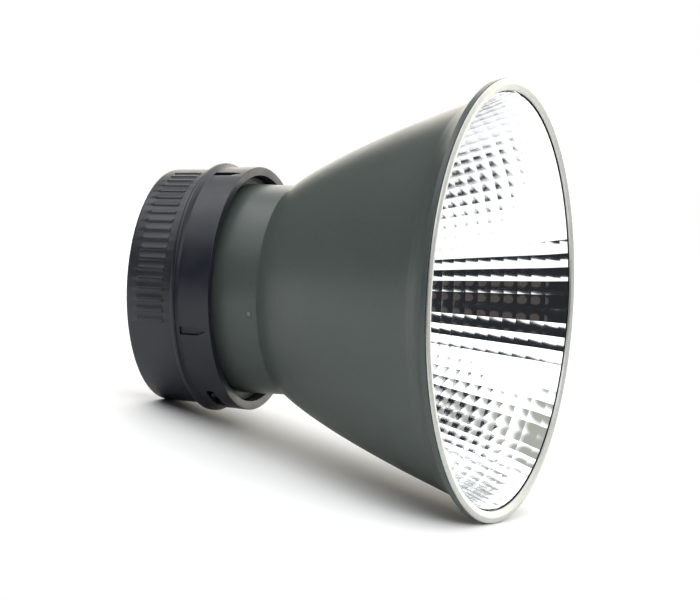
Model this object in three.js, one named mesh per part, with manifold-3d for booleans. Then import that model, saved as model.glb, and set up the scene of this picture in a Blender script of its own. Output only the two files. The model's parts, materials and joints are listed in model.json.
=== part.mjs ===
// Studio flash reflector: a spun metal bell with a faceted mirror lining, on a twist-lock collar.
// Every piece is modelled about the optical axis, local +Z, with z = 0 on the collar's rear face.
// Local +Y is the side that ends up on top. At the end the whole assembly is laid on its side,
// so that it rests on the rear edge of the sleeve and on the crease of the rim.
import * as THREE from 'three';
import * as BufferGeometryUtils from 'three/addons/utils/BufferGeometryUtils.js';
import Module from 'manifold-3d';

const wasm = await Module();
wasm.setup();

// ---------- driving dimensions, millimetres ----------
const SIDES = 48; // flats round every large ring
const GAP = 0.3; // between touching pieces
const RUN = 0.4; // running clearance of the lock ring

const RIM_R = 105; // outermost radius of the rim
const CREASE_R = 104.6; // where the flare turns forward
const CREASE_Z = 166.8;
const SHELL_FRONT_Z = 169.5;
const BEAD_INNER_R = 99.2;
const BEAD_DEPTH = 1.4;
const NECK_R = 50.3;
const NECK_FRONT_Z = 64.5; // where the straight neck meets the bell
const BELL_END = [93.3, 153.0]; // where the bell curve meets the flare, as [radius, z]
const BELL_PULL = [67.4, 85.9]; // control points of the two curves
const FLARE_PULL = [96.6, 161.0];
const LINER_MOUTH_PULL = [94, 160];
const SHELL_T = 1.2;
const LINER_T = 0.8;
const LINER_GAP = 0.4; // between shell and lining

const LIP_R = 59.8; // raised grip lip of the lock ring
const LIP_Z = 24.9;
const LIP_WIDTH = 1.3;
const RING_REAR_Z = 24.4;
const RING_FRONT_Z = 43.8;
const RING_REAR_R = 57.9;
const RING_FRONT_R = 58.6;
const RING_FRONT_BORE_R = 54.4;
const STEP_Z = 35.9; // shoulder inside the lock ring

const SLEEVE_REAR_R = 55.8;
const SLEEVE_EDGE_Z = 1.4; // where its rear edge is fully rounded
const SLEEVE_FRONT_R = 56.7;
const SLEEVE_BORE_R = 54.0;
const SLEEVE_FRONT_Z = 23.9;
const SLEEVE_REAR_LIP = 1.2; // turned in over the hub's rear end
const HEAD_BORE_R = 50.0; // the flash head slides in here
const HUB_R = 52.0;
const HUB_REAR_Z = 1.5;
const CLIP_GROOVE = [2.6, 4.2]; // z of the groove's two sides
const CLIP_GROOVE_DEPTH = 0.8;
const CLIP_Z = [2.9, 3.9];
const CLIP_OPENING = 24; // degrees
const LEDGE_Z = 33.4; // stop face for the flash head
const LEDGE_R = 44.0; // light passes through here
const HUB_FRONT_Z = 38.8;
const HUB_FLANGE_Z = 37.2;
const HUB_FLANGE_R = 54.0;
const GASKET_R = 49.6;
const GASKET_T = 0.9;
const SPRING_T = 0.4;
const SPRING_WAVE = 0.12;
const SPRING_WAVES = 4;

const LUG_COUNT = 4;
const LUG_DEGREES = 10;
const LUG_REAR_Z = 26.5;
const LUG_FRONT_Z = 29.5;
const LUG_TIP_R = 47.2;
const LUG_ROOT_R = 54.6;
const TURN_OPEN = 4; // degrees the ring turns each way from the modelled position
const TURN_LOCK = 8;
const TURN_SPARE = 0.6; // degrees left over at the ends of the lug windows

const POINTERS = 4;
const POINTER_AT = -20; // degrees above the horizontal, on the side with local -X
const POINTER_DEPTH = 0.5;
const POINTER_REAR_Z = 28;
const POINTER_SHOULDER_Z = 37;
const POINTER_TIP_Z = 41.6;
const POINTER_HALF = 2.1;
const STOP_AT = -64.5;
const STOP_Z = 34.5;
const STOP_INNER_END = 48.6; // distance of the screw's point from the axis
const STOP_HEAD_R = 57.2;
const SLOT_HALF = 2.3;
const SLOT_SPARE = 3; // degrees past the travel at each end
const DOT_AT = POINTER_AT + TURN_LOCK;
const DOT_Z = 61;
const FLANGE_SCREWS = 6;
const FLANGE_SCREW_R = 46.4; // radius of the circle that they stand on
const FLANGE_SCREW_AT = 30;
const CLEARANCE_HOLE = 1.6;
const PILOT_HOLE = 1.55;
const CLAMP_R = 48.8;
const CLAMP_T = 1.2;

// stack in front of the hub: shell flange, clamp ring, screw heads
const FLANGE_REAR_Z = HUB_FRONT_Z + GAP;
const FLANGE_FRONT_Z = FLANGE_REAR_Z + SHELL_T;
const CLAMP_REAR_Z = FLANGE_FRONT_Z + GAP;
const CLAMP_FRONT_Z = CLAMP_REAR_Z + CLAMP_T;
const SCREW_HEAD_Z = CLAMP_FRONT_Z + GAP;

// ---------- materials ----------
function finish(color, roughness, metalness) {
  return new THREE.MeshStandardMaterial({ color, roughness, metalness });
}

const paint = () => finish(0x4b5552, 0.5, 0.2);
const mirror = () => finish(0xe8ebee, 0.08, 1.0);
const satin = () => finish(0xcfcdc4, 0.4, 0.6);
const rubber = () => finish(0x2d2e33, 0.7, 0.0);
const plastic = () => finish(0x35373c, 0.55, 0.0);
const darkPlastic = () => finish(0x1d1e21, 0.6, 0.0);
const steel = () => finish(0x9a9c9f, 0.35, 1.0);
const white = () => finish(0xd5d8d2, 0.6, 0.0);

// ---------- helpers ----------
const group = new THREE.Group();
const assembly = new THREE.Group();
group.add(assembly);

function place(name, geometry, material) {
  const mesh = new THREE.Mesh(geometry, material);
  mesh.name = name;
  assembly.add(mesh);
  return mesh;
}

// A closed outline of [radius, z] points turned about local +Z, with a flat centred at the bottom.
function turned(outline) {
  const points = outline.map(([r, z]) => new THREE.Vector2(r, z));
  points.push(points[0].clone());
  const half = Math.PI / SIDES;
  const geometry = new THREE.LatheGeometry(points, SIDES, -half, 2 * Math.PI);
  return geometry.rotateX(Math.PI / 2);
}

function solid(geometry) {
  const bare = geometry.clone();
  bare.deleteAttribute('normal');
  bare.deleteAttribute('uv');
  const merged = BufferGeometryUtils.mergeVertices(bare, 1e-4);
  const vertProperties = new Float32Array(merged.attributes.position.array);
  const triVerts = new Uint32Array(merged.index.array);
  return new wasm.Manifold(new wasm.Mesh({ numProp: 3, vertProperties, triVerts }));
}

function cut(geometry, cutters) {
  let body = solid(geometry);
  for (const cutter of cutters) {
    body = body.subtract(solid(cutter));
  }
  const mesh = body.getMesh();
  const result = new THREE.BufferGeometry();
  result.setAttribute('position', new THREE.BufferAttribute(mesh.vertProperties, 3));
  result.setIndex(new THREE.BufferAttribute(mesh.triVerts, 1));
  return result;
}

// Moves a geometry built at the angle 0 (local -X) to the given angle about the axis.
function swing(geometry, degrees) {
  return geometry.rotateZ(-THREE.MathUtils.degToRad(degrees));
}

// A sector of a ring between two radii and two heights, centred on an angle.
function sector(innerR, outerR, rearZ, frontZ, fromDegrees, toDegrees, steps = 6) {
  const shape = new THREE.Shape();
  const from = Math.PI - THREE.MathUtils.degToRad(fromDegrees);
  const to = Math.PI - THREE.MathUtils.degToRad(toDegrees);
  for (let i = 0; i <= steps; i += 1) {
    const angle = from + ((to - from) * i) / steps;
    const point = [outerR * Math.cos(angle), outerR * Math.sin(angle)];
    if (i === 0) {
      shape.moveTo(...point);
    } else {
      shape.lineTo(...point);
    }
  }
  for (let i = steps; i >= 0; i -= 1) {
    const angle = from + ((to - from) * i) / steps;
    shape.lineTo(innerR * Math.cos(angle), innerR * Math.sin(angle));
  }
  const geometry = new THREE.ExtrudeGeometry(shape, { depth: frontZ - rearZ, bevelEnabled: false });
  return geometry.translate(0, 0, rearZ);
}

// A pin along the radius at angle 0: lathe outline of [radius of pin, distance from the axis].
function radialPin(outline, sides, z, degrees) {
  const points = outline.map(([r, d]) => new THREE.Vector2(r, d));
  const geometry = new THREE.LatheGeometry(points, sides);
  geometry.rotateZ(Math.PI / 2).translate(0, 0, z);
  return swing(geometry, degrees);
}

// A pin along local +Z, placed at a radius and an angle.
function axialPin(outline, sides, radius, degrees) {
  const points = outline.map(([r, z]) => new THREE.Vector2(r, z));
  const geometry = new THREE.LatheGeometry(points, sides);
  geometry.rotateX(Math.PI / 2).translate(-radius, 0, 0);
  return swing(geometry, degrees);
}

// Straight-sided cutter between two ends, for the pin makers above.
function drill(radius, from, to) {
  return [[0, from], [radius, from], [radius, to], [0, to]];
}

// Two crossed bars that cut a screwdriver recess; each size is [x, y, z].
function crossRecess(sizes, position, degrees) {
  return sizes.map((size) => swing(new THREE.BoxGeometry(...size).translate(...position), degrees));
}

function flangeScrewAngle(i) {
  return i * (360 / FLANGE_SCREWS) + FLANGE_SCREW_AT;
}

function flangeHoles(radius, rear, front) {
  const holes = [];
  for (let i = 0; i < FLANGE_SCREWS; i += 1) {
    holes.push(axialPin(drill(radius, rear, front), 12, FLANGE_SCREW_R, flangeScrewAngle(i)));
  }
  return holes;
}

function lugAngle(i) {
  return POINTER_AT + 45 + i * (360 / LUG_COUNT);
}

// Points moved sideways off a curve of [radius, z] points, towards the axis.
function offset(points, distance) {
  return points.map(([r, z], i) => {
    const before = points[Math.max(i - 1, 0)];
    const after = points[Math.min(i + 1, points.length - 1)];
    const dr = after[0] - before[0];
    const dz = after[1] - before[1];
    const length = Math.hypot(dr, dz);
    return [r - (distance * dz) / length, z + (distance * dr) / length];
  });
}

function bezier(start, control, end, steps) {
  const curve = new THREE.QuadraticBezierCurve(
    new THREE.Vector2(...start),
    new THREE.Vector2(...control),
    new THREE.Vector2(...end),
  );
  return curve.getPoints(steps).map((p) => [p.x, p.y]);
}

// ---------- bell ----------
const bellCurve = bezier([NECK_R, NECK_FRONT_Z], BELL_PULL, BELL_END, 6);
const flareCurve = bezier(BELL_END, FLARE_PULL, [CREASE_R, CREASE_Z], 3);

function outerShell() {
  const bend = 0.8; // small fold between neck and flange
  const outside = [[NECK_R, FLANGE_REAR_Z + bend], ...bellCurve, ...flareCurve.slice(1)];
  outside.push([RIM_R, SHELL_FRONT_Z]);
  const inside = offset(outside, SHELL_T).slice(1, -1);
  const outline = [
    [LEDGE_R, FLANGE_REAR_Z],
    [NECK_R - bend, FLANGE_REAR_Z],
    ...outside,
    [RIM_R - SHELL_T, SHELL_FRONT_Z],
    ...inside.reverse(),
    [NECK_R - SHELL_T, FLANGE_FRONT_Z],
    [LEDGE_R, FLANGE_FRONT_Z],
  ];
  const holes = flangeHoles(CLEARANCE_HOLE, FLANGE_REAR_Z - 1, FLANGE_FRONT_Z + 1);
  const dotHole = radialPin(drill(0.9, NECK_R - 4, NECK_R + 3), 12, DOT_Z, DOT_AT);
  return cut(turned(outline), [...holes, dotHole]);
}

// The mirror lining follows the bell inside the shell, then opens out to the rim bead.
function mirrorLiner() {
  const start = offset(bellCurve, SHELL_T + LINER_GAP).slice(1);
  const mouth = bezier(start.at(-1), LINER_MOUTH_PULL, [BEAD_INNER_R + 0.1, SHELL_FRONT_Z - 0.9], 2);
  const back = [[NECK_R - 1.5, NECK_FRONT_Z + 2.5], ...start, ...mouth.slice(1)];
  const front = offset(back, LINER_T);
  return turned([...back, ...front.reverse()]);
}

// Convex band folded over the front edge of shell and lining.
function rimBead() {
  const rear = SHELL_FRONT_Z + GAP;
  const front = rear + BEAD_DEPTH;
  const outline = [
    [RIM_R - 0.1, rear],
    [RIM_R - 0.4, rear + 0.8],
    [RIM_R - 1.6, front],
    [RIM_R - 3.6, front],
    [BEAD_INNER_R + 0.6, rear + 0.8],
    [BEAD_INNER_R, rear - 0.2],
    [BEAD_INNER_R + 0.9, rear - 0.2],
    [RIM_R - 3.4, rear + 0.5],
    [RIM_R - 1.7, rear + 0.5],
    [RIM_R - 1.1, rear],
  ];
  return turned(outline);
}

place('outer_shell', outerShell(), paint());
place('mirror_liner', mirrorLiner(), mirror());
place('rim_bead', rimBead(), satin());

// ---------- fixed half of the collar ----------
function mountHub() {
  const outline = [
    [HEAD_BORE_R, HUB_REAR_Z],
    [HUB_R, HUB_REAR_Z],
    [HUB_R, CLIP_GROOVE[0]],
    [HUB_R - CLIP_GROOVE_DEPTH, CLIP_GROOVE[0]],
    [HUB_R - CLIP_GROOVE_DEPTH, CLIP_GROOVE[1]],
    [HUB_R, CLIP_GROOVE[1]],
    [HUB_R, HUB_FLANGE_Z],
    [HUB_FLANGE_R, HUB_FLANGE_Z],
    [HUB_FLANGE_R, HUB_FRONT_Z],
    [LEDGE_R, HUB_FRONT_Z],
    [LEDGE_R, LEDGE_Z],
    [HEAD_BORE_R, LEDGE_Z],
  ];
  const cutters = flangeHoles(PILOT_HOLE, LEDGE_Z + 1.2, HUB_FRONT_Z + 2);
  for (let i = 0; i < LUG_COUNT; i += 1) {
    const from = lugAngle(i) - LUG_DEGREES / 2 - TURN_OPEN - TURN_SPARE;
    const to = lugAngle(i) + LUG_DEGREES / 2 + TURN_LOCK + TURN_SPARE;
    cutters.push(sector(HEAD_BORE_R - 2, HUB_R + 2, LUG_REAR_Z - GAP, LUG_FRONT_Z + GAP, from, to));
  }
  cutters.push(radialPin(drill(1.45, STOP_INNER_END - 0.4, HUB_R + 2), 12, STOP_Z, STOP_AT));
  return cut(turned(outline), cutters);
}

place('mount_hub', mountHub(), darkPlastic());

function clampRing() {
  const inner = LEDGE_R + 0.1;
  const outline = [
    [inner, CLAMP_REAR_Z],
    [CLAMP_R, CLAMP_REAR_Z],
    [CLAMP_R, CLAMP_FRONT_Z],
    [inner, CLAMP_FRONT_Z],
  ];
  return cut(turned(outline), flangeHoles(CLEARANCE_HOLE, CLAMP_REAR_Z - 1, CLAMP_FRONT_Z + 1));
}

place('clamp_ring', clampRing(), steel());

// Pan head screws through clamp ring and neck flange into the hub.
function flangeScrew(i) {
  const point = LEDGE_Z + 1.6;
  const top = SCREW_HEAD_Z + 1.5;
  const outline = [
    [0, point],
    [1.2, point],
    [1.2, SCREW_HEAD_Z],
    [2.3, SCREW_HEAD_Z],
    [2.3, top - 0.5],
    [1.6, top],
    [0, top],
  ];
  const screw = axialPin(outline, 16, FLANGE_SCREW_R, flangeScrewAngle(i));
  const bars = [[2.6, 0.7, 1.6], [0.7, 2.6, 1.6]];
  return cut(screw, crossRecess(bars, [-FLANGE_SCREW_R, 0, top + 0.1], flangeScrewAngle(i)));
}

for (let i = 0; i < FLANGE_SCREWS; i += 1) {
  place(`flange_screw_${i + 1}`, flangeScrew(i), steel());
}

function rubberSleeve() {
  const lipR = HEAD_BORE_R + 0.4;
  const outline = [
    [lipR, 0],
    [SLEEVE_REAR_R - 1.4, 0],
    [SLEEVE_REAR_R - 0.4, 0.4],
    [SLEEVE_REAR_R, SLEEVE_EDGE_Z],
    [SLEEVE_FRONT_R, SLEEVE_FRONT_Z - 1],
    [SLEEVE_FRONT_R - 0.6, SLEEVE_FRONT_Z],
    [SLEEVE_BORE_R, SLEEVE_FRONT_Z],
    [SLEEVE_BORE_R, SLEEVE_REAR_LIP],
    [lipR, SLEEVE_REAR_LIP],
  ];
  return turned(outline);
}

place('rubber_sleeve', rubberSleeve(), rubber());

// Hard ring moulded into the rubber, which slides over the hub.
function sleeveCore() {
  const inner = HUB_R + RUN;
  const outer = SLEEVE_BORE_R - GAP;
  const rear = CLIP_GROOVE[1];
  const front = SLEEVE_FRONT_Z - 0.2;
  return turned([[inner, rear], [outer, rear], [outer, front], [inner, front]]);
}

place('sleeve_core', sleeveCore(), darkPlastic());

// Open spring ring in the hub's groove, which keeps the sleeve from sliding off to the rear.
function sleeveClip() {
  const from = CLIP_OPENING / 2;
  return sector(HUB_R - 0.5, HUB_R + 1.5, ...CLIP_Z, from, 360 - from, SIDES);
}

place('sleeve_clip', sleeveClip(), steel());

function headGasket() {
  const inner = LEDGE_R + 0.4;
  const front = LEDGE_Z - GAP;
  const rear = front - GASKET_T;
  return turned([[inner, rear], [GASKET_R, rear], [GASKET_R, front], [inner, front]]);
}

place('head_gasket', headGasket(), rubber());

// Shoulder screw in the hub; its head runs in the lock ring's slot and ends its travel.
function stopScrew() {
  const shoulder = HUB_R + GAP;
  const head = STOP_HEAD_R - 2;
  const outline = [
    [0, STOP_INNER_END],
    [1.1, STOP_INNER_END],
    [1.1, shoulder],
    [1.6, shoulder],
    [1.6, head],
    [2.0, head],
    [2.0, STOP_HEAD_R - 0.3],
    [1.6, STOP_HEAD_R],
    [0, STOP_HEAD_R],
  ];
  const screw = radialPin(outline, 16, STOP_Z, STOP_AT);
  const bars = [[1.6, 2.4, 0.6], [1.6, 0.6, 2.4]];
  return cut(screw, crossRecess(bars, [-STOP_HEAD_R - 0.2, 0, STOP_Z], STOP_AT));
}

place('stop_screw', stopScrew(), steel());

// Plug pressed into the neck, with a low head on the paint.
function indexDot() {
  const seat = NECK_R + 0.4;
  const top = seat + 0.3;
  const outline = [[0, NECK_R - 1.7], [0.6, NECK_R - 1.7], [0.6, seat], [1.1, seat], [0.8, top], [0, top]];
  return radialPin(outline, 16, DOT_Z, DOT_AT);
}

place('index_dot', indexDot(), white());

// Wavy washer between the lock ring's shoulder and the hub's flange.
function waveSpring() {
  const inner = HUB_R + RUN;
  const outer = HUB_FLANGE_R;
  const rear = STEP_Z + GAP;
  const front = rear + SPRING_T;
  const washer = turned([[inner, rear], [outer, rear], [outer, front], [inner, front]]);
  const position = washer.attributes.position;
  for (let i = 0; i < position.count; i += 1) {
    const angle = Math.atan2(position.getY(i), position.getX(i));
    const lift = SPRING_WAVE * (1 + Math.sin(SPRING_WAVES * angle));
    position.setZ(i, position.getZ(i) + lift);
  }
  return washer;
}

place('wave_spring', waveSpring(), steel());

// ---------- turning half of the collar ----------
function pointerPocket(degrees) {
  const shape = new THREE.Shape();
  shape.moveTo(POINTER_REAR_Z, -POINTER_HALF);
  shape.lineTo(POINTER_SHOULDER_Z, -POINTER_HALF);
  shape.lineTo(POINTER_TIP_Z, 0);
  shape.lineTo(POINTER_SHOULDER_Z, POINTER_HALF);
  shape.lineTo(POINTER_REAR_Z, POINTER_HALF);
  shape.closePath();
  const pocket = new THREE.ExtrudeGeometry(shape, { depth: 4, bevelEnabled: false });
  // shape x runs along the axis, shape y round the ring, and the depth along the radius
  const turn = new THREE.Matrix4().makeBasis(
    new THREE.Vector3(0, 0, 1),
    new THREE.Vector3(0, 1, 0),
    new THREE.Vector3(-1, 0, 0),
  );
  pocket.applyMatrix4(turn).translate(-(RING_REAR_R + 0.25 - POINTER_DEPTH), 0, 0);
  return swing(pocket, degrees);
}

function lockRing() {
  const outline = [
    [HUB_R + RUN, RING_REAR_Z],
    [LIP_R - 0.6, RING_REAR_Z],
    [LIP_R, LIP_Z],
    [LIP_R, LIP_Z + LIP_WIDTH],
    [LIP_R - 1.0, LIP_Z + LIP_WIDTH + 0.9],
    [RING_REAR_R, LIP_Z + LIP_WIDTH + 1.6],
    [RING_FRONT_R, RING_FRONT_Z - 0.9],
    [RING_FRONT_R - 0.9, RING_FRONT_Z],
    [RING_FRONT_BORE_R, RING_FRONT_Z],
    [RING_FRONT_BORE_R, STEP_Z],
    [HUB_R + RUN, STEP_Z],
  ];
  const cutters = [];
  for (let i = 0; i < POINTERS; i += 1) {
    cutters.push(pointerPocket(POINTER_AT + i * (360 / POINTERS)));
  }
  for (let i = 0; i < LUG_COUNT; i += 1) {
    const from = lugAngle(i) - LUG_DEGREES / 2 - 0.4;
    const to = lugAngle(i) + LUG_DEGREES / 2 + 0.4;
    cutters.push(sector(HUB_R, LUG_ROOT_R + GAP, LUG_REAR_Z - GAP, LUG_FRONT_Z + GAP, from, to, 4));
  }
  const slotFrom = STOP_AT - TURN_LOCK - SLOT_SPARE;
  const slotTo = STOP_AT + TURN_OPEN + SLOT_SPARE;
  cutters.push(sector(HUB_R, LIP_R + 3, STOP_Z - SLOT_HALF, STOP_Z + SLOT_HALF, slotFrom, slotTo));
  return cut(turned(outline), cutters);
}

place('lock_ring', lockRing(), plastic());

function bayonetLug(i) {
  const from = lugAngle(i) - LUG_DEGREES / 2;
  const to = lugAngle(i) + LUG_DEGREES / 2;
  return sector(LUG_TIP_R, LUG_ROOT_R, LUG_REAR_Z, LUG_FRONT_Z, from, to, 4);
}

for (let i = 0; i < LUG_COUNT; i += 1) {
  place(`bayonet_lug_${i + 1}`, bayonetLug(i), steel());
}

// ---------- laid on its side ----------
// The flats at the bottom of the sleeve's rear edge and of the rim's crease both touch the floor.
const flat = Math.cos(Math.PI / SIDES);
const tilt = Math.atan2((CREASE_R - SLEEVE_REAR_R) * flat, CREASE_Z - SLEEVE_EDGE_Z);
const lying = new THREE.Matrix4().makeBasis(
  new THREE.Vector3(0, 1, 0),
  new THREE.Vector3(-Math.sin(tilt), 0, Math.cos(tilt)),
  new THREE.Vector3(Math.cos(tilt), 0, Math.sin(tilt)),
);
assembly.quaternion.setFromRotationMatrix(lying);
assembly.updateMatrixWorld(true);
const bounds = new THREE.Box3().setFromObject(assembly, true);
const centre = bounds.getCenter(new THREE.Vector3());
assembly.position.set(-centre.x, -centre.y, -bounds.min.z);
group.updateMatrixWorld(true);

export default group;
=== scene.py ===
"""A studio flash reflector lying on its side, with its fine meshes and materials.

Every turned piece is drawn in axis coordinates, in millimetres: x to the far side, y upward, and z forward
along the optical axis from the collar's rear face. LAY takes them to the part's own frame, in metres.
"""
import json
import math

import bmesh
import bpy
import numpy as np
from mathutils import Matrix, Vector


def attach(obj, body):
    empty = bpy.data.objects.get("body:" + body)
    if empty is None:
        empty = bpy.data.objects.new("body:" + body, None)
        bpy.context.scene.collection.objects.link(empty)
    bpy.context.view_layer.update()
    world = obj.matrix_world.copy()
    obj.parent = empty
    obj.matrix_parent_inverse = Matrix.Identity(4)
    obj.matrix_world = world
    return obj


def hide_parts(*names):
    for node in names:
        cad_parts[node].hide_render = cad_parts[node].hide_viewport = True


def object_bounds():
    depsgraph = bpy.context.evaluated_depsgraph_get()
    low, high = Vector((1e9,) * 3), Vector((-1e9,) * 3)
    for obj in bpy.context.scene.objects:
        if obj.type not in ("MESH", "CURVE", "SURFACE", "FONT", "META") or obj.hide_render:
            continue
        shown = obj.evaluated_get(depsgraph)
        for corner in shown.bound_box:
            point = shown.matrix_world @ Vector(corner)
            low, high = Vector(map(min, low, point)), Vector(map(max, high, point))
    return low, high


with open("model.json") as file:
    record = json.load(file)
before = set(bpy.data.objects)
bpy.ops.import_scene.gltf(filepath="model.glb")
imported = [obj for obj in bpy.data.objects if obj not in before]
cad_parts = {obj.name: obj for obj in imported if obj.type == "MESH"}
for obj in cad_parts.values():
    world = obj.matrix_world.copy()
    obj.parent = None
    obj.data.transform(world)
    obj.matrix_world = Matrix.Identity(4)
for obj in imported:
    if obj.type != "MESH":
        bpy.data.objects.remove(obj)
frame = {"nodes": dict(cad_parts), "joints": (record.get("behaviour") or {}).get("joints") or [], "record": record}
cad_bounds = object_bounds()

# ---------- axis coordinates ----------
MM = 0.001
joint = frame["joints"][0]
mounts = {mount["name"]: mount for mount in frame["record"]["mounts"]}
FORWARD = -Vector(joint["axis"]).normalized()
FAR_SIDE = Vector((0, 1, 0))
UPWARD = FORWARD.cross(FAR_SIDE)
rear_face = Vector(mounts["collar_rear_face"]["pos_m"])
pivot = Vector(joint["pos_m"])
ORIGIN = pivot + FORWARD * (rear_face - pivot).dot(FORWARD)
AXES = Matrix((FAR_SIDE, UPWARD, FORWARD)).transposed().to_4x4()
LAY = Matrix.Translation(ORIGIN) @ AXES @ Matrix.Scale(MM, 4)
UNLAY = LAY.inverted()

FIXED = "reflector"
TURNING = "turning_ring"

# ---------- camera ----------
CAMERA_AZIMUTH = 19.95
CAMERA_ELEVATION = 7.68
CAMERA_ROLL = 17.60
CAMERA_DISTANCE = 2.0
CAMERA_LENS = 215.5
SENSOR_WIDTH = 36
FARTHEST_SEEN = 100
AIM_OFFSET = Vector((0.0016, -0.0029, -0.0243))  # from the middle of the part, in metres


def compass(azimuth, elevation=0.0):
    """Unit vector towards an azimuth, from 0 at -Y to 90 at +X, and an elevation, in degrees."""
    a, e = math.radians(azimuth), math.radians(elevation)
    return Vector((math.sin(a) * math.cos(e), -math.cos(a) * math.cos(e), math.sin(e)))


def add_camera():
    """Camera on the near side, moved a little towards the mouth and above, with its right side raised."""
    roll = math.radians(CAMERA_ROLL)
    back = compass(CAMERA_AZIMUTH, CAMERA_ELEVATION)
    level = compass(CAMERA_AZIMUTH + 90)
    upright = back.cross(level)
    right = level * math.cos(roll) + upright * math.sin(roll)
    up = back.cross(right)
    centre = (Vector(cad_bounds[0]) + Vector(cad_bounds[1])) / 2
    data = bpy.data.cameras.new("camera")
    data.lens = CAMERA_LENS
    data.sensor_width = SENSOR_WIDTH
    data.clip_end = FARTHEST_SEEN
    camera = bpy.data.objects.new("camera", data)
    bpy.context.scene.collection.objects.link(camera)
    rotation = Matrix((right, up, back)).transposed().to_4x4()
    camera.matrix_world = Matrix.Translation(centre + AIM_OFFSET + back * CAMERA_DISTANCE) @ rotation
    bpy.context.scene.camera = camera


add_camera()


# ---------- measuring the frame ----------
CAD_SIDES = 48  # of every turned CAD node
SAME_PLACE = 0.03  # points nearer than this along the axis are one point
SIDE_FACING = 0.3  # least radial part of the normal of a face that belongs to a skin
ON_CORNER = 0.05  # degrees between a point and the corner of the outline that it belongs to
CLOSE = 0.05  # sizes nearer than this are the same


def axis_points(node):
    """The vertices of a CAD node in axis coordinates."""
    return np.array([UNLAY @ v.co for v in frame["nodes"][node].data.vertices])


def span(node):
    """Smallest and largest radius and z of a CAD node."""
    points = axis_points(node)
    radius = np.hypot(points[:, 0], points[:, 1])
    return radius.min(), radius.max(), points[:, 2].min(), points[:, 2].max()


def skin(node, outward):
    """Points (radius, z) of a turned node's outer or inner skin, from rear to front."""
    mesh = frame["nodes"][node].data
    points = axis_points(node)
    turn = UNLAY.to_3x3()
    way = 1 if outward else -1
    step = 360 / CAD_SIDES
    found = {}
    for polygon in mesh.polygons:
        normal = (turn @ polygon.normal).normalized()
        centre = UNLAY @ polygon.center
        radial = (normal.x * centre.x + normal.y * centre.y) / math.hypot(centre.x, centre.y)
        if radial * way < SIDE_FACING:
            continue
        for index in polygon.vertices:
            x, y, z = points[index]
            off_corner = (math.degrees(math.atan2(y, x)) + step / 2) % step
            if min(off_corner, step - off_corner) < ON_CORNER:
                found[round(z, 2)] = (math.hypot(x, y), z)
    stations = sorted(found)
    return [found[z] for z, before in zip(stations, [-math.inf] + stations) if z - before > SAME_PLACE]


def smooth_through(points, per_span):
    """Catmull-Rom curve through points, with per_span steps from each to the next."""
    p = np.array(points, float)
    padded = np.vstack([2 * p[0] - p[1], p, 2 * p[-1] - p[-2]])
    result = []
    for i in range(len(p) - 1):
        a, b, c, d = padded[i:i + 4]
        for k in range(per_span):
            t = k / per_span
            result.append(0.5 * (2 * b + (c - a) * t + (2 * a - 5 * b + 4 * c - d) * t ** 2
                                 + (3 * b - a - 3 * c + d) * t ** 3))
    result.append(p[-1])
    return np.array(result)


def sideways(points, distance):
    """A curve of (radius, z) points that runs forward, moved towards the axis."""
    p = np.array(points, float)
    along = np.gradient(p, axis=0)
    along /= np.hypot(*along.T)[:, None]
    return p + distance * np.stack([-along[:, 1], along[:, 0]], 1)


def angle_of(node):
    """Angle of a node's middle, up from the near horizontal."""
    points = axis_points(node)
    x, y, _ = (points.min(0) + points.max(0)) / 2
    return math.degrees(math.atan2(y, -x))


def turn_between(a, b):
    """The smaller angle between two directions, in degrees."""
    return abs((a - b + 180) % 360 - 180)


def per_mm(radius):
    """Degrees that one millimetre takes up round a radius."""
    return 360 / (2 * math.pi * radius)


# ---------- mesh tools ----------
SHARP = 32  # edges that turn by more degrees than this stay sharp in shading
BEVELLED_FROM = 35  # and those that turn by more than this are rounded
BEVEL_SEGMENTS = 3
FULLEST_FILLET = 0.49  # of the shorter side next to a corner
LEAST_FILLET = 0.02


def new_piece(name, verts, faces, body, sharp_degrees=SHARP):
    """An object from axis coordinates, laid down in the part's frame. It rides on body, if one is given."""
    mesh = bpy.data.meshes.new(name)
    mesh.from_pydata([tuple(v) for v in verts], [], faces)
    mesh.transform(LAY)
    mesh.validate()
    piece = bpy.data.objects.new(name, mesh)
    bpy.context.scene.collection.objects.link(piece)
    shade(piece, sharp_degrees)
    if body:
        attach(piece, body)
    return piece


def shade(piece, sharp_degrees):
    """Smooth shading, apart from edges that turn by more than sharp_degrees."""
    mesh = piece.data
    mesh.polygons.foreach_set("use_smooth", [True] * len(mesh.polygons))
    mesh.set_sharp_from_angle(angle=math.radians(sharp_degrees))
    mesh.update()


def rounded(outline, steps=5):
    """Closed outline of (radius, z) points from (radius, z, fillet) corners, each rounded by a curve."""
    result = []
    count = len(outline)
    for i, (r, z, fillet) in enumerate(outline):
        here = np.array([r, z], float)
        before = np.array(outline[i - 1][:2], float) - here
        after = np.array(outline[(i + 1) % count][:2], float) - here
        room = min(np.hypot(*before), np.hypot(*after)) * FULLEST_FILLET
        reach = min(fillet, room)
        if reach < LEAST_FILLET:
            result.append(here)
            continue
        start = here + before / np.hypot(*before) * reach
        end = here + after / np.hypot(*after) * reach
        for k in range(steps + 1):
            t = k / steps
            result.append((1 - t) ** 2 * start + 2 * t * (1 - t) * here + t ** 2 * end)
    return result


def even_angles(steps):
    """Angles in degrees, evenly spaced all the way round."""
    return np.arange(steps) * (360 / steps)


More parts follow.
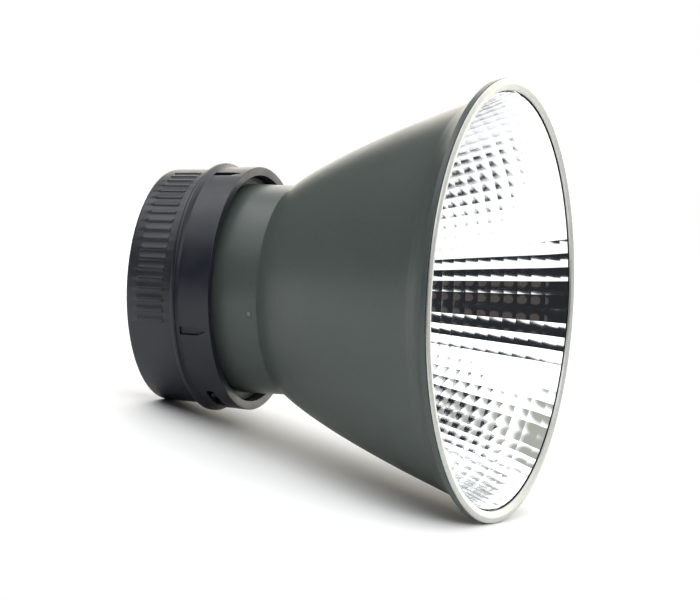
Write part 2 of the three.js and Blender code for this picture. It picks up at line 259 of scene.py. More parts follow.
def revolve(name, outline, body, angles, height=None, sharp_degrees=SHARP):
    """Closed outline of (radius, z) turned through all the angles, in degrees up from the near horizontal.

    height(angle, r, z) says how far the outline's points are lifted along the radius.
    """
    outline = np.array(outline, float)
    count = len(outline)
    r_all, z_all = outline[:, 0], outline[:, 1]
    area = np.sum(r_all * np.roll(z_all, -1) - np.roll(r_all, -1) * z_all)
    verts = []
    for angle in angles:
        a = math.radians(angle)
        r = r_all + (height(angle, r_all, z_all) if height else 0)
        verts.append(np.stack([-r * math.cos(a), r * math.sin(a), z_all], 1))
    columns = len(angles)
    faces = []
    for i in range(columns):
        a, b = i * count, ((i + 1) % columns) * count
        for k in range(count):
            m = (k + 1) % count
            quad = (a + k, a + m, b + m, b + k)
            faces.append(quad if area > 0 else quad[::-1])
    return new_piece(name, np.vstack(verts), faces, body, sharp_degrees)


def apply_modifiers(piece):
    """Turns a piece's modifiers into its mesh."""
    bpy.context.view_layer.update()
    evaluated = piece.evaluated_get(bpy.context.evaluated_depsgraph_get())
    mesh = bpy.data.meshes.new_from_object(evaluated)
    piece.modifiers.clear()
    piece.data = mesh


def carve(piece, cutters, bevel=0.0):
    """Cuts closed cutter objects out of a piece, then rounds its sharp edges."""
    for cutter in cutters:
        modifier = piece.modifiers.new("cut", "BOOLEAN")
        modifier.operation = "DIFFERENCE"
        modifier.solver = "EXACT"
        modifier.object = cutter
    apply_modifiers(piece)
    for cutter in cutters:
        bpy.data.objects.remove(cutter)
    soften(piece, bevel)


def soften(piece, bevel, sharp_degrees=SHARP):
    """Rounds a piece's sharp edges by a bevel in millimetres."""
    if bevel:
        modifier = piece.modifiers.new("soft", "BEVEL")
        modifier.width = bevel * MM
        modifier.segments = BEVEL_SEGMENTS
        modifier.limit_method = "ANGLE"
        modifier.angle_limit = math.radians(BEVELLED_FROM)
        modifier.harden_normals = False
        apply_modifiers(piece)
    shade(piece, sharp_degrees)


def prism(name, outline, low, high):
    """Closed solid between two copies of an outline. low and high give a point's place in each copy."""
    verts = [low(p) for p in outline] + [high(p) for p in outline]
    count = len(outline)
    faces = [tuple(range(count))[::-1], tuple(range(count, 2 * count))]
    faces += [(i, (i + 1) % count, (i + 1) % count + count, i + count) for i in range(count)]
    piece = new_piece(name, verts, faces, None)
    fix_facing(piece)
    return piece


def fix_facing(piece):
    """Turns every face of a closed piece outward."""
    bm = bmesh.new()
    bm.from_mesh(piece.data)
    bmesh.ops.recalc_face_normals(bm, faces=bm.faces)
    bm.to_mesh(piece.data)
    bm.free()


def around(angle, radius, z):
    """A point at an angle up from the near horizontal."""
    a = math.radians(angle)
    return (-radius * math.cos(a), radius * math.sin(a), z)


def wall_cutter(name, outline, inner, outer):
    """Cutter through a ring's wall: outline of (degrees, z) points, between two radii."""
    return prism(name, outline, lambda p: around(p[0], inner, p[1]), lambda p: around(p[0], outer, p[1]))


# ---------- materials ----------
ROUGHNESS_BAND = (0.3, 0.7)  # the stretch of a noise's values that the roughness follows
COLOUR_BAND = (0.35, 0.65)
GRAIN_ROUND = 0.02  # how fast turned metal's grain varies round the axis, against across it


class Surface:
    """A principled material whose roughness, colour and bump come from procedural nodes."""

    def __init__(self, name, colour, roughness, metallic=0.0, **sockets):
        self.material = bpy.data.materials.new(name)
        self.material.use_nodes = True
        self.nodes = self.material.node_tree.nodes
        self.links = self.material.node_tree.links
        self.shader = self.nodes["Principled BSDF"]
        self.colour = colour
        self.roughness = roughness
        self.shader.inputs["Base Color"].default_value = (*colour, 1)
        self.shader.inputs["Roughness"].default_value = roughness
        self.shader.inputs["Metallic"].default_value = metallic
        for socket, value in sockets.items():
            self.shader.inputs[socket.replace("_", " ")].default_value = value
        self.height = None

    def coordinates(self, attribute=None):
        """The object's own coordinates, or those stored on its mesh under a name."""
        if attribute:
            node = self.nodes.new("ShaderNodeAttribute")
            node.attribute_name = attribute
            return node.outputs["Vector"]
        return self.nodes.new("ShaderNodeTexCoord").outputs["Object"]

    def noise(self, scale, detail=3.0, attribute=None, roughness=0.5):
        """Cloudy values between 0 and 1. A larger scale makes them finer."""
        node = self.nodes.new("ShaderNodeTexNoise")
        node.inputs["Scale"].default_value = scale
        node.inputs["Detail"].default_value = detail
        node.inputs["Roughness"].default_value = roughness
        self.links.new(self.coordinates(attribute), node.inputs["Vector"])
        return node.outputs["Fac"]

    def cells(self, scale):
        """Distance from the middle of small cells, like the grain of a moulded surface."""
        node = self.nodes.new("ShaderNodeTexVoronoi")
        node.inputs["Scale"].default_value = scale
        self.links.new(self.coordinates(), node.inputs["Vector"])
        return node.outputs["Distance"]

    def vary_roughness(self, value, amount):
        """Lets the roughness follow a noise, by up to an amount each way."""
        node = self.nodes.new("ShaderNodeMapRange")
        node.inputs["From Min"].default_value = ROUGHNESS_BAND[0]
        node.inputs["From Max"].default_value = ROUGHNESS_BAND[1]
        node.inputs["To Min"].default_value = self.roughness - amount
        node.inputs["To Max"].default_value = self.roughness + amount
        self.links.new(value, node.inputs["Value"])
        self.links.new(node.outputs["Result"], self.shader.inputs["Roughness"])

    def vary_colour(self, value, other):
        """Lets the colour follow a noise, from the surface's own colour to another."""
        ramp = self.nodes.new("ShaderNodeValToRGB")
        for element, place, colour in zip(ramp.color_ramp.elements, COLOUR_BAND, (self.colour, other)):
            element.position = place
            element.color = (*colour, 1)
        self.links.new(value, ramp.inputs["Fac"])
        self.links.new(ramp.outputs["Color"], self.shader.inputs["Base Color"])

    def bump(self, value, depth_mm, strength=1.0):
        """Adds a relief on top of those added before."""
        node = self.nodes.new("ShaderNodeBump")
        node.inputs["Strength"].default_value = strength
        node.inputs["Distance"].default_value = depth_mm * MM
        self.links.new(value, node.inputs["Height"])
        if self.height:
            self.links.new(self.height, node.inputs["Normal"])
        self.height = node.outputs["Normal"]
        self.links.new(self.height, self.shader.inputs["Normal"])


def shell_paint():
    s = Surface("shell_paint", (0.064, 0.080, 0.074), 0.35, Specular_IOR_Level=0.36)
    s.vary_roughness(s.noise(60, 2), 0.03)
    s.vary_colour(s.noise(900, 2), (0.071, 0.087, 0.081))
    s.bump(s.noise(2600, 3, roughness=0.6), 0.02, 0.5)
    s.bump(s.noise(260, 2), 0.03, 0.25)
    return s.material


def bright_mirror():
    s = Surface("bright_mirror", (0.90, 0.91, 0.92), 0.08, 1.0)
    s.vary_roughness(s.noise(150, 3), 0.02)
    s.bump(s.noise(700, 2), 0.002, 0.4)
    return s.material


def bare_metal():
    s = Surface("bare_metal", (0.62, 0.63, 0.63), 0.32, 1.0)
    s.vary_roughness(s.noise(40, 3, "grain"), 0.08)
    s.bump(s.noise(220, 3, "grain"), 0.01, 0.5)
    return s.material


def satin_rim():
    s = Surface("satin_rim", (0.50, 0.515, 0.495), 0.34, 0.85)
    s.vary_roughness(s.noise(30, 3, "grain"), 0.06)
    s.vary_colour(s.noise(400, 2), (0.455, 0.465, 0.445))
    s.bump(s.noise(300, 3, "grain"), 0.012, 0.5)
    return s.material


def black_rubber():
    s = Surface("black_rubber", (0.010, 0.012, 0.019), 0.42, Specular_IOR_Level=0.5)
    s.vary_roughness(s.noise(90, 3), 0.05)
    s.vary_colour(s.noise(45, 4), (0.016, 0.017, 0.023))
    s.bump(s.noise(1500, 4, roughness=0.65), 0.03, 0.6)
    return s.material


def ring_plastic():
    s = Surface("ring_plastic", (0.008, 0.010, 0.018), 0.38, Specular_IOR_Level=0.42)
    s.vary_roughness(s.noise(120, 3), 0.05)
    s.vary_colour(s.noise(60, 4), (0.013, 0.015, 0.023))
    s.bump(s.cells(1700), 0.02, 0.35)
    return s.material


def hub_plastic():
    s = Surface("hub_plastic", (0.014, 0.014, 0.016), 0.5)
    s.vary_roughness(s.noise(80, 3), 0.06)
    s.bump(s.noise(900, 3), 0.03, 0.5)
    return s.material


def plain_steel():
    s = Surface("plain_steel", (0.55, 0.55, 0.56), 0.30, 1.0)
    s.vary_roughness(s.noise(300, 3), 0.08)
    s.vary_colour(s.noise(180, 3), (0.47, 0.46, 0.45))
    s.bump(s.noise(900, 3), 0.01, 0.5)
    return s.material


def dark_steel():
    """Blackened steel of the screw that stands in the ring's stop slot."""
    s = Surface("dark_steel", (0.05, 0.05, 0.055), 0.34, 0.8)
    s.vary_roughness(s.noise(300, 3), 0.08)
    s.bump(s.noise(900, 3), 0.01, 0.5)
    return s.material


def dot_white():
    s = Surface("dot_white", (0.17, 0.20, 0.18), 0.5)
    s.vary_colour(s.noise(2000, 2), (0.13, 0.155, 0.14))
    s.bump(s.noise(2500, 2), 0.01, 0.5)
    return s.material


FINISHES = {build.__name__: build() for build in (
    shell_paint, bright_mirror, satin_rim, black_rubber, ring_plastic, hub_plastic, plain_steel, dot_white,
)}


def finish_with(piece, slot, *others):
    """Gives a piece the material of a slot, followed by any other materials."""
    piece.data.materials.clear()
    piece.data.materials.append(FINISHES[slot])
    for other in others:
        piece.data.materials.append(other)


def add_grain(piece):
    """Stores coordinates that vary fast across a ring and slowly round it, for turned metal."""
    mesh = piece.data
    attribute = mesh.attributes.new("grain", "FLOAT_VECTOR", "POINT")
    for vertex, item in zip(mesh.vertices, attribute.data):
        p = UNLAY @ vertex.co
        item.vector = (p.x * GRAIN_ROUND, p.y * GRAIN_ROUND, p.z + math.hypot(p.x, p.y))


# ---------- bell ----------
FACETS_AROUND = 88
FACET_PHASE = 3.5  # degrees
FACET_CELLS = 5  # mesh cells across a facet, each way
FRONT_STRIP = 3.7  # the part of the front facets that shows beside the rim
FACET_LENGTH = 7.3  # next to the front strip
FACET_SHRINK = 0.97  # from one row to the next, towards the neck
SLOPE_AROUND = 0.136  # of a facet's surface at its edges
SLOPE_ALONG = 0.095
BELL_STEPS = 256  # round the shell and the rim
CURVE_STEPS = 8  # from one of the shell's CAD points to the next
LINER_CURVE_STEPS = 12
SHELL_SHARP = 25
FACET_SHARP = 5
LINER_THICKNESS = 0.8
SHELL_THICKNESS = 1.2
BARE_INSIDE_END = 75  # behind this the inside of the shell is bare metal
CORNER_FOLD = 0.3  # straight metal left next to the corner between neck and bell
FLANGE_SCREWS = [name for name in sorted(frame["nodes"]) if name.startswith("flange_screw_")]


def bell_shell():
    """Neck and bell of spun sheet, with the flange at the back that is screwed to the hub."""
    outer = skin("outer_shell", True)
    neck_rear = outer[1]  # outer[0] is the chamfer behind it
    crease, front = outer[-2:]
    corner_z = max(p[1] for p in outer if p[0] < neck_rear[0] + CLOSE)
    curve = smooth_through([p for p in outer if corner_z - CLOSE < p[1] < crease[1] + CLOSE], CURVE_STEPS)
    r_min, r_max, z_min, _ = span("outer_shell")
    outside = [(neck_rear[0], neck_rear[1] + 0.4), (neck_rear[0], corner_z - CORNER_FOLD)]
    outside += [tuple(p) for p in curve]
    outside += [(crease[0] + 0.05, crease[1] + 0.5), (front[0], front[1] - 0.3), (front[0] - 0.25, front[1])]
    inside = sideways(outside, SHELL_THICKNESS)[1:-2]
    outline = [(r_min, z_min), (neck_rear[0] - 0.8, z_min)] + outside
    outline += [(r_max - SHELL_THICKNESS, front[1])] + [tuple(p) for p in inside[::-1]]
    outline += [(neck_rear[0] - SHELL_THICKNESS, z_min + SHELL_THICKNESS), (r_min, z_min + SHELL_THICKNESS)]
    piece = revolve("bell_shell", outline, FIXED, even_angles(BELL_STEPS), sharp_degrees=SHELL_SHARP)
    finish_with(piece, "shell_paint", bare_metal())
    for polygon in piece.data.polygons:
        centre = UNLAY @ polygon.center
        normal = UNLAY.to_3x3() @ polygon.normal
        inward = normal.x * centre.x + normal.y * centre.y < 0
        polygon.material_index = int(inward and centre.z < BARE_INSIDE_END)
    add_grain(piece)
    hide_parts("outer_shell")


def facet_stations(length):
    """Distances along the lining, each with its place in its own facet (-1 to 1) and that facet's length."""
    end = length - FRONT_STRIP
    size = FACET_LENGTH / FACET_SHRINK
    start = end
    rows = [(end, size)]
    while start > 0:
        size *= FACET_SHRINK
        start -= size
        rows.append((start, size))
    stations = []
    for start, size in reversed(rows):
        for k in range(FACET_CELLS):
            at = start + size * k / FACET_CELLS
            if 0 <= at <= length:
                stations.append((at, 2 * k / FACET_CELLS - 1, size))
    stations.append((length, 2 * FRONT_STRIP / rows[0][1] - 1, rows[0][1]))
    return np.array(stations)


def mirror_facets():
    """Pillow facets in rows round the bell: every facet bulges a little towards the axis."""
    curve = smooth_through(skin("mirror_liner", False), LINER_CURVE_STEPS)
    distance = np.concatenate([[0], np.cumsum(np.hypot(*np.diff(curve, axis=0).T))])
    at, v, size = facet_stations(distance[-1]).T
    front = np.stack([np.interp(at, distance, curve[:, 0]), np.interp(at, distance, curve[:, 1])], 1)
    back = sideways(front, -LINER_THICKNESS)
    inward = (front - back) / LINER_THICKNESS
    rise_along = SLOPE_ALONG * size / 4 * (1 - v ** 2)
    width = 2 * math.pi * front[:, 0] / FACETS_AROUND
    columns = FACETS_AROUND * FACET_CELLS
    verts = []
    for i in range(columns):
        angle = math.radians(FACET_PHASE) + 2 * math.pi * i / columns
        u = (i % FACET_CELLS) / FACET_CELLS * 2 - 1
        rise = rise_along + SLOPE_AROUND * width / 4 * (1 - u ** 2)
        for r, z in np.vstack([front + inward * rise[:, None], back[::-1]]):
            verts.append((-r * math.cos(angle), r * math.sin(angle), z))
    count = 2 * len(front)
    faces = []
    for i in range(columns):
        a, b = i * count, ((i + 1) % columns) * count
        for k in range(count):
            m = (k + 1) % count
            faces.append((a + k, b + k, b + m, a + m))
    piece = new_piece("mirror_facets", verts, faces, FIXED)
    fix_facing(piece)
    shade(piece, FACET_SHARP)
    finish_with(piece, "bright_mirror")
    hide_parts("mirror_liner")


def rim_band():
    """Rounded band that closes the front edge, hollow behind."""
    r_min, r_max, z_min, z_max = span("rim_bead")
    outline = [
        (r_max, z_min + 0.3, 0.1), (r_max - 0.15, z_min + 0.9, 0.4), (r_max - 1.1, z_max - 0.35, 0.8),
        (r_max - 2.4, z_max, 0.9), (r_max - 3.9, z_max - 0.35, 0.9), (r_min + 0.35, z_min + 0.9, 0.5),
        (r_min, z_min, 0.1), (r_min + 0.9, z_min, 0.1), (r_max - 3.4, z_min + 0.7, 0.5),
        (r_max - 1.4, z_min + 0.6, 0.3),
    ]
    piece = revolve("rim_band", rounded(outline), FIXED, even_angles(BELL_STEPS))
    add_grain(piece)
    finish_with(piece, "satin_rim")
    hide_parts("rim_bead")


# ---------- collar ----------
RING_STEPS = 240  # round the turning ring
HUB_STEPS = 180  # round the hub and the flat rings
LIP_LENGTH = 1.8
POINTERS = 4
POINTER_DEPTH = 1.9
POINTER_HALF = 2.1  # half the width of a pointer's pocket
POINTER_REAR = 28.0  # z of its rear end, of where it starts to narrow and of its tip
POINTER_SHOULDER = 37.0
POINTER_TIP = 41.6
POINTER_AT = -20  # the first one, in degrees up from the near horizontal
LUG_HALF_ANGLE = 5.4  # of the recess that holds a lug in the ring
WINDOW_HALF_ANGLE = 5.6  # of a lug's window in the hub, before the ring's turn is added
LUG_PLAY = 0.3
STOP_SLOT_HALF = 2.3  # half the slot's width
STOP_ROOM = 3  # degrees of slot past the screw's middle at each limit
RING_BEVEL = 0.16
HUB_BEVEL = 0.12
HUB_FLANGE = 1.6
CLIP_GROOVE = 0.8  # depth of the groove for the sleeve's clip
SCREW_HOLE = 1.6  # radius of the holes in the clamp ring
PILOT_HOLE = 1.5  # and of those in the hub
PILOT_FLOOR = 1.2  # from the ledge to the bottom of the pilot holes
SHORT_REACH = 1.5  # how far a cutter passes through the wall that it cuts
LONG_REACH = 4.0
TURN_MIN, TURN_MAX = joint["range_deg"]
LUGS = [name for name in sorted(frame["nodes"]) if name.startswith("bayonet_lug_")]


def slot_outline(low, high, z, half, steps=8):
    """Round-ended slot as (degrees, z) points."""
    radius = span("lock_ring")[1]
    end = half * per_mm(radius)
    points = []
    for middle, start in ((high - end, -90), (low + end, 90)):
        for k in range(steps + 1):
            a = math.radians(start + 180 * k / steps)
            points.append((middle + end * math.cos(a), z + half * math.sin(a)))
    return points


def lug_outline(lug, low, high, steps=8):
    """Opening for a lug as (degrees, z) points, from one angle to another."""
    _, _, z_min, z_max = span(lug)
    angles = [low + (high - low) * k / steps for k in range(steps + 1)]
    return [(a, z_min - LUG_PLAY) for a in angles] + [(a, z_max + LUG_PLAY) for a in angles[::-1]]


def turning_grip():
    """Ring with a raised lip, pointer pockets, recesses for the lugs and the slot of the stop screw."""
    r_min, r_max, z_min, z_max = span("lock_ring")
    outer = skin("lock_ring", True)
    inner = skin("lock_ring", False)
    bore_front = max(p[0] for p in inner)
    step_z = max(p[1] for p in inner if p[0] < r_min + 0.2)
    lip_rear = min(p[1] for p in outer if p[0] > r_max - CLOSE)
    lip_front = z_min + LIP_LENGTH
    body_rear = [p for p in outer if p[1] > lip_front + 1.0][0]
    body_front = max(p[0] for p in outer if p[1] > z_max - 2)
    outline = [
        (r_min, z_min, 0.3), (r_max - 0.3, z_min, 0.3), (r_max, lip_rear + 0.2, 0.3), (r_max, lip_front, 0.3),
        (r_max - 1.0, lip_front + 0.6, 0.3), (body_rear[0], body_rear[1], 0.3),
        (body_front, z_max - 0.2, 0.35), (body_front - 0.3, z_max, 0.3),
        (bore_front, z_max, 0.4), (bore_front, step_z, 0.1), (r_min, step_z, 0.2),
    ]
    piece = revolve("turning_grip", rounded(outline), TURNING, even_angles(RING_STEPS))
    floor = body_rear[0] + 0.25 - POINTER_DEPTH
    wide = POINTER_HALF * per_mm(r_max)
    cutters = []
    for i in range(POINTERS):
        at = POINTER_AT + 360 / POINTERS * i
        outline = [
            (at - wide, POINTER_REAR), (at - wide, POINTER_SHOULDER), (at, POINTER_TIP),
            (at + wide, POINTER_SHOULDER), (at + wide, POINTER_REAR),
        ]
        cutters.append(wall_cutter("pointer_cutter", outline, floor, r_max + LONG_REACH))
    for lug in LUGS:
        outline = lug_outline(lug, angle_of(lug) - LUG_HALF_ANGLE, angle_of(lug) + LUG_HALF_ANGLE)
        cutters.append(wall_cutter("lug_cutter", outline, r_min - SHORT_REACH, span(lug)[1] + LUG_PLAY))
    stop = angle_of("stop_screw")
    stop_z = axis_points("stop_screw")[:, 2].mean()
    outline = slot_outline(stop - TURN_MAX - STOP_ROOM, stop - TURN_MIN + STOP_ROOM, stop_z, STOP_SLOT_HALF)
    cutters.append(wall_cutter("slot_cutter", outline, r_min - SHORT_REACH, r_max + LONG_REACH))
    carve(piece, cutters, RING_BEVEL)
    finish_with(piece, "ring_plastic")
    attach(piece, TURNING)
    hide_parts("lock_ring")


RIB_FROM, RIB_TO = -16, 74  # degrees up from the near horizontal
RIB_COUNT = 19
RIB_HALF_WIDTH = 1.1
RIB_HEIGHT = 0.5
RIB_EDGE = 0.45  # width of the slope at a rib's sides and ends
RIB_EDGE_STEPS = 4
RIB_REAR, RIB_FRONT = 5.5, 19.5
RIB_MIDDLE = np.linspace(7.5, 17.5, 5)  # places along a rib between its ends
RIB_SHARP = 60
PLAIN_STEP = 2.5  # degrees between the sleeve's points away from the ribs
RIB_GAP = 0.2  # degrees kept free of those points beside a rib
SLEEVE_LIP = 1.2


def smoothstep(value):
    """0 up to a value of 0, 1 from a value of 1, and a soft slope between."""
    t = np.clip(value, 0, 1)
    return t * t * (3 - 2 * t)


def rubber_ring():
    """Sleeve with plain raised grip ribs over a quarter of its outside."""
    r_min, r_max, z_min, z_max = span("rubber_sleeve")
    rear_r = [p[0] for p in skin("rubber_sleeve", True) if 1.0 < p[1] < 3.0][0]
    bore = max(p[0] for p in skin("rubber_sleeve", False))
    corners = [
        (r_min, z_min, 0.2), (rear_r, z_min, 1.3), (r_max, z_max, 0.35), (bore, z_max, 0.2),
        (bore, z_min + SLEEVE_LIP, 0.1), (r_min, z_min + SLEEVE_LIP, 0.2),
    ]
    outline = [tuple(p) for p in rounded(corners)]
    side_start = max(i for i, p in enumerate(outline) if p[0] > rear_r - CLOSE and p[1] < 3)
    edge_steps = np.linspace(0, 1, RIB_EDGE_STEPS + 1)
    stations = [*(RIB_REAR + RIB_EDGE * edge_steps), *(RIB_FRONT - RIB_EDGE * edge_steps), *RIB_MIDDLE]
    slope = (r_max - rear_r) / (z_max - z_min)
    for z in sorted(stations, reverse=True):
        outline.insert(side_start + 1, (rear_r + slope * z, z))
    radius = (rear_r + r_max) / 2
    half = RIB_HALF_WIDTH * per_mm(radius)
    soft = RIB_EDGE * per_mm(radius)
    centres = np.linspace(RIB_FROM, RIB_TO, RIB_COUNT)
    plain = np.arange(0, 360, PLAIN_STEP)
    angles = {a for a in plain if turn_between(a, centres).min() >= half + RIB_GAP}
    for centre in centres:
        angles.add(round(centre % 360, 3))
        for side in (-1, 1):
            angles |= {round((centre + side * (half - soft * step)) % 360, 3) for step in edge_steps}

    def height(angle, r, z):
        across = smoothstep((half - turn_between(angle, centres).min()) / soft)
        along = smoothstep((z - RIB_REAR) / RIB_EDGE) * smoothstep((RIB_FRONT - z) / RIB_EDGE)
        outside = r > rear_r - 0.01
        return RIB_HEIGHT * across * along * outside

    piece = revolve("rubber_ring", outline, FIXED, sorted(angles), height, RIB_SHARP)
    finish_with(piece, "black_rubber")
    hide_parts("rubber_sleeve")


def screw_hole(screw, low, high, size):
    """Round cutter along a flange screw, from one z to another."""
    points = axis_points(screw)
    cx, cy, _ = (points.min(0) + points.max(0)) / 2
    outline = [(cx + size * math.cos(a), cy + size * math.sin(a)) for a in np.arange(16) * math.pi / 8]
    return prism("hole_cutter", outline, lambda p: (p[0], p[1], low), lambda p: (p[0], p[1], high))


def moulded_hub():
    """Fixed ring that the collar turns on, with windows for the lugs and pilot holes for the screws."""
    r_min, r_max, z_min, z_max = span("mount_hub")
    inner = skin("mount_hub", False)
    bore = max(p[0] for p in inner)
    ledge = min(p[1] for p in inner if p[0] < r_min + 0.1)
    outer = [p for p in skin("mount_hub", True) if p[0] < r_max - 1]
    wall = max(p[0] for p in outer)
    groove = [p[1] for p in outer if p[0] < wall - 0.5]
    groove_rear, groove_front = min(groove), max(groove)
    groove_r = wall - CLIP_GROOVE
    flange = z_max - HUB_FLANGE
    outline = [
        (bore, z_min, 0.5), (wall, z_min, 0.3), (wall, groove_rear, 0.1), (groove_r, groove_rear, 0.1),
        (groove_r, groove_front, 0.1), (wall, groove_front, 0.1), (wall, flange, 0.1), (r_max, flange, 0.2),
        (r_max, z_max, 0.3), (r_min, z_max, 0.4), (r_min, ledge, 0.4), (bore, ledge, 0.3),
    ]
    piece = revolve("moulded_hub", rounded(outline, 3), FIXED, even_angles(HUB_STEPS))
    cutters = []
    for lug in LUGS:
        low = angle_of(lug) - WINDOW_HALF_ANGLE + TURN_MIN
        high = angle_of(lug) + WINDOW_HALF_ANGLE + TURN_MAX
        outline = lug_outline(lug, low, high)
        cutters.append(wall_cutter("window_cutter", outline, bore - SHORT_REACH, wall + SHORT_REACH))
    for screw in FLANGE_SCREWS:
        cutters.append(screw_hole(screw, ledge + PILOT_FLOOR, z_max + SHORT_REACH, PILOT_HOLE))
    carve(piece, cutters, HUB_BEVEL)
    finish_with(piece, "hub_plastic")
    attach(piece, FIXED)
    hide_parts("mount_hub")


def flat_ring(name, node, slot, fillet, holes=False):
    """Flat ring with rounded edges and, where asked, holes for the flange screws."""
    r_min, r_max, z_min, z_max = span(node)
    outline = [(r_min, z_min, fillet), (r_max, z_min, fillet), (r_max, z_max, fillet), (r_min, z_max, fillet)]
    piece = revolve(name, rounded(outline, 3), FIXED, even_angles(HUB_STEPS))
    if holes:
        low, high = z_min - SHORT_REACH, z_max + SHORT_REACH
        carve(piece, [screw_hole(screw, low, high, SCREW_HOLE) for screw in FLANGE_SCREWS])
        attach(piece, FIXED)
    add_grain(piece)
    finish_with(piece, slot)
    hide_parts(node)


SMALL_BEVEL = 0.1  # of the screws and the dot
LUG_BEVEL = 0.25
COPY_SHARP = 30
WELD_REACH = 0.005


def softened_copy(node, name, body, slot, bevel, material=None):
    """A CAD node's own shape with its edges rounded. A material given here is used in place of the slot's."""
    mesh = frame["nodes"][node].data.copy()
    piece = bpy.data.objects.new(name, mesh)
    bpy.context.scene.collection.objects.link(piece)
    modifier = piece.modifiers.new("weld", "WELD")
    modifier.merge_threshold = WELD_REACH * MM
    apply_modifiers(piece)
    soften(piece, bevel, COPY_SHARP)
    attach(piece, body)
    finish_with(piece, slot)
    if material:
        piece.data.materials[0] = material
    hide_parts(node)


def finish_cad_nodes():
    """The pieces that stay as they were drawn, all hidden inside the collar."""
    slots = {"sleeve_core": "hub_plastic", "sleeve_clip": "plain_steel", "wave_spring": "plain_steel"}
    for node, slot in slots.items():
        piece = frame["nodes"][node]
        piece.data.materials.clear()
        piece.data.materials.append(FINISHES[slot])


# ---------- floor and light ----------
TABLE_FACING = -10  # azimuth that the table's front edge faces
TABLE_FRONT = 0.42  # metres from the part to the front edge
TABLE_LEFT = 0.50  # metres to the edge behind the collar
TABLE_SIZE = 5.0  # metres to its other edges


def add_table():
    """Pale table that ends a little in front of the reflector and behind its collar."""
    ahead = compass(TABLE_FACING)
    side = compass(TABLE_FACING + 90)
    corners = [
        ahead * TABLE_FRONT - side * TABLE_LEFT, ahead * TABLE_FRONT + side * TABLE_SIZE,
        side * TABLE_SIZE - ahead * TABLE_SIZE, -side * TABLE_LEFT - ahead * TABLE_SIZE,
    ]
    mesh = bpy.data.meshes.new("table")
    mesh.from_pydata([tuple(c) for c in corners], [], [(0, 1, 2, 3)])
    table = bpy.data.objects.new("table", mesh)
    bpy.context.scene.collection.objects.link(table)
    surface = Surface("table", (0.93, 0.93, 0.925), 0.6, Specular_IOR_Level=0.1)
    table.data.materials.append(surface.material)


# colour and strength of what stands round the part
TENT = (1.90, 1.92, 1.95)
CEILING = (0.45, 0.46, 0.41)
DARK_ROOM = (0.022, 0.023, 0.026)
LEFT_TENT = (3.2, 3.2, 3.2)
WARM_BACK = (3.0, 2.85, 2.55)
SIDE_WALL = (0.75, 0.75, 0.72)
FAR_WALL = (1.05, 1.03, 0.96)
LEFT_WALL = (0.17, 0.155, 0.145)
CAMERA_SIDE = (0.085, 0.075, 0.068)
BACKDROP = (1.0, 1.0, 1.0)  # what is seen behind the table
PATCHES = (  # colour, azimuth, elevation, half-angle and softness; each patch lies over those before it
    (SIDE_WALL, 95, 0, 36, 12),
    (DARK_ROOM, -34, 0, 95, 12),
    (LEFT_WALL, -98, 10, 24, 14),
    (WARM_BACK, -172, 12, 24, 14),
    (CAMERA_SIDE, CAMERA_AZIMUTH, CAMERA_ELEVATION, 7, 1),
    (TENT, 0, 90, 58, 4),
    (LEFT_WALL, -118, 24, 14, 10),
    (LEFT_TENT, -92, 54, 10, 12),
    (CEILING, 90, 75, 12, 12),
)


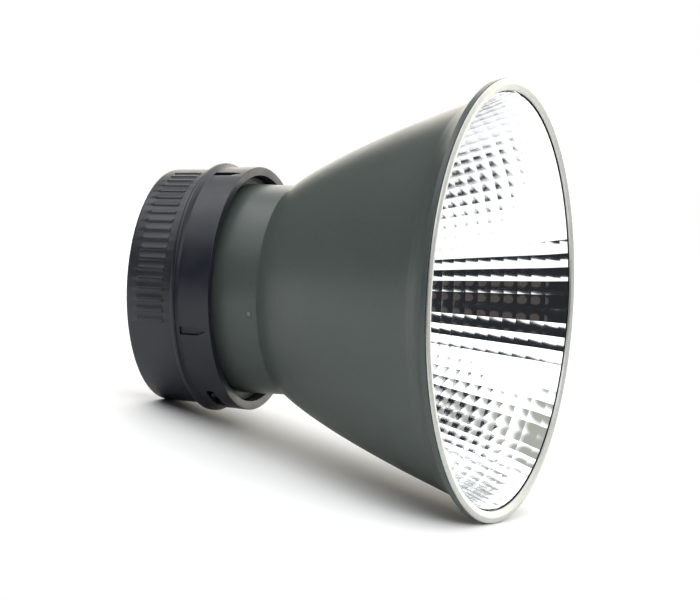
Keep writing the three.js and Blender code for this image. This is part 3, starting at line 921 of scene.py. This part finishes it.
class Sky:
    """World whose colour depends on direction, built up from round soft-edged patches."""

    def __init__(self, start):
        world = bpy.data.worlds.new("studio")
        bpy.context.scene.world = world
        world.use_nodes = True
        self.nodes, self.links = world.node_tree.nodes, world.node_tree.links
        self.background = self.nodes["Background"]
        self.direction = self.nodes.new("ShaderNodeTexCoord").outputs["Generated"]
        self.colour = start

    def patch(self, centre, half_angle, soft):
        """1 within half_angle of a direction, 0 beyond half_angle + soft, in degrees."""
        dot = self.nodes.new("ShaderNodeVectorMath")
        dot.operation = "DOT_PRODUCT"
        dot.inputs[1].default_value = centre
        self.links.new(self.direction, dot.inputs[0])
        ramp = self.nodes.new("ShaderNodeMapRange")
        ramp.interpolation_type = "SMOOTHSTEP"
        ramp.inputs["From Min"].default_value = math.cos(math.radians(half_angle + soft))
        ramp.inputs["From Max"].default_value = math.cos(math.radians(half_angle))
        self.links.new(dot.outputs["Value"], ramp.inputs["Value"])
        return ramp.outputs["Result"]

    def blend(self, mask, colour):
        """Lays a colour over what is there already, where the mask is 1."""
        mix = self.nodes.new("ShaderNodeMix")
        mix.data_type = "RGBA"
        self.links.new(mask, mix.inputs["Factor"])
        for socket, value in (("A", self.colour), ("B", colour)):
            target = [i for i in mix.inputs if i.name == socket and i.type == "RGBA"][0]
            if isinstance(value, tuple):
                target.default_value = (*value, 1)
            else:
                self.links.new(value, target)
        self.colour = [o for o in mix.outputs if o.type == "RGBA"][0]

    def finish(self):
        """Lets the camera see a plain backdrop, while the part is lit by all the patches."""
        seen = self.nodes.new("ShaderNodeLightPath").outputs["Is Camera Ray"]
        self.blend(seen, BACKDROP)
        self.links.new(self.colour, self.background.inputs["Color"])


def add_world():
    """A white tent above a room that is dark on the camera's side, with warm light behind the part."""
    sky = Sky(FAR_WALL)
    for colour, azimuth, elevation, half_angle, soft in PATCHES:
        sky.blend(sky.patch(compass(azimuth, elevation), half_angle, soft), colour)
    sky.finish()


bell_shell()
mirror_facets()
rim_band()
turning_grip()
rubber_ring()
moulded_hub()
flat_ring("head_seat_gasket", "head_gasket", "black_rubber", fillet=0.3)
flat_ring("screw_clamp_ring", "clamp_ring", "plain_steel", fillet=0.2, holes=True)
for lug in LUGS:
    softened_copy(lug, lug.replace("bayonet", "gripping"), TURNING, "plain_steel", LUG_BEVEL)
for screw in FLANGE_SCREWS:
    softened_copy(screw, screw.replace("flange", "pan_head"), FIXED, "plain_steel", SMALL_BEVEL)
softened_copy("stop_screw", "travel_stop_screw", FIXED, "plain_steel", SMALL_BEVEL, dark_steel())
softened_copy("index_dot", "lock_index_dot", FIXED, "dot_white", SMALL_BEVEL)
finish_cad_nodes()
add_table()
add_world()
bpy.context.scene.view_settings.view_transform = "Standard"
